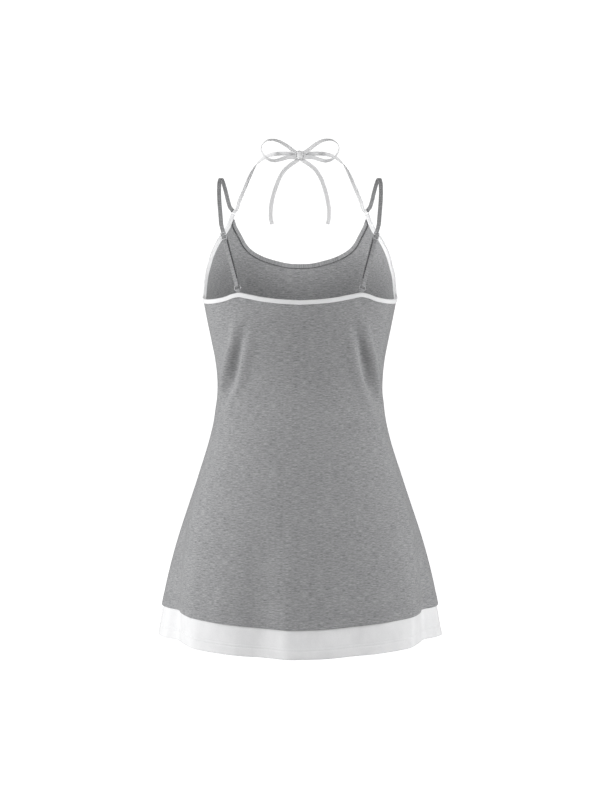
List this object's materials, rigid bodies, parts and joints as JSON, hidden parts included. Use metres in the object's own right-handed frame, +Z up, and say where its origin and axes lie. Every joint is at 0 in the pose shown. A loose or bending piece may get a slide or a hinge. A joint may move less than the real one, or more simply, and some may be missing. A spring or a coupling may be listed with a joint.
{
  "type": "sleeveless dress",
  "caption": "Hollow A-line jersey mini dress with thin adjustable shoulder straps, bound edges, a halter tie knotted in a bow at the nape and a contrast band under the hem",
  "frame": {"origin": "midway between the tops of the two shoulder straps, where a wearer's shoulders hold the dress up", "axes": "+Z up along the dress, +Y towards its front, +X to the right of someone who looks at its back"},
  "size_m": [0.4385, 0.3115, 0.7696],
  "materials": {
    "grey_jersey": "heathered grey cotton jersey, matt, with fine pale and dark streaks along the courses",
    "white_jersey": "plain white cotton jersey, matt",
    "coated_metal": "wire coated in grey, satin"
  },
  "bodies": {
    "root": {"front_panel": "grey_jersey", "back_panel": "grey_jersey", "hem_band_front": "white_jersey", "hem_band_back": "white_jersey", "neckline_binding": "grey_jersey", "back_binding": "white_jersey", "armhole_binding_left": "white_jersey", "armhole_binding_right": "white_jersey", "strap_left": "grey_jersey", "strap_right": "grey_jersey", "ring_tab_left": "grey_jersey", "ring_tab_right": "grey_jersey", "slider_left": "coated_metal", "slider_right": "coated_metal", "ring_left": "coated_metal", "ring_right": "coated_metal", "halter_tie_left": "white_jersey", "halter_tie_right": "white_jersey", "bow_knot": "white_jersey", "bow_loop_left": "white_jersey", "bow_loop_right": "white_jersey", "bow_tail_left": "white_jersey", "bow_tail_right": "white_jersey"}
  },
  "joints": []
}
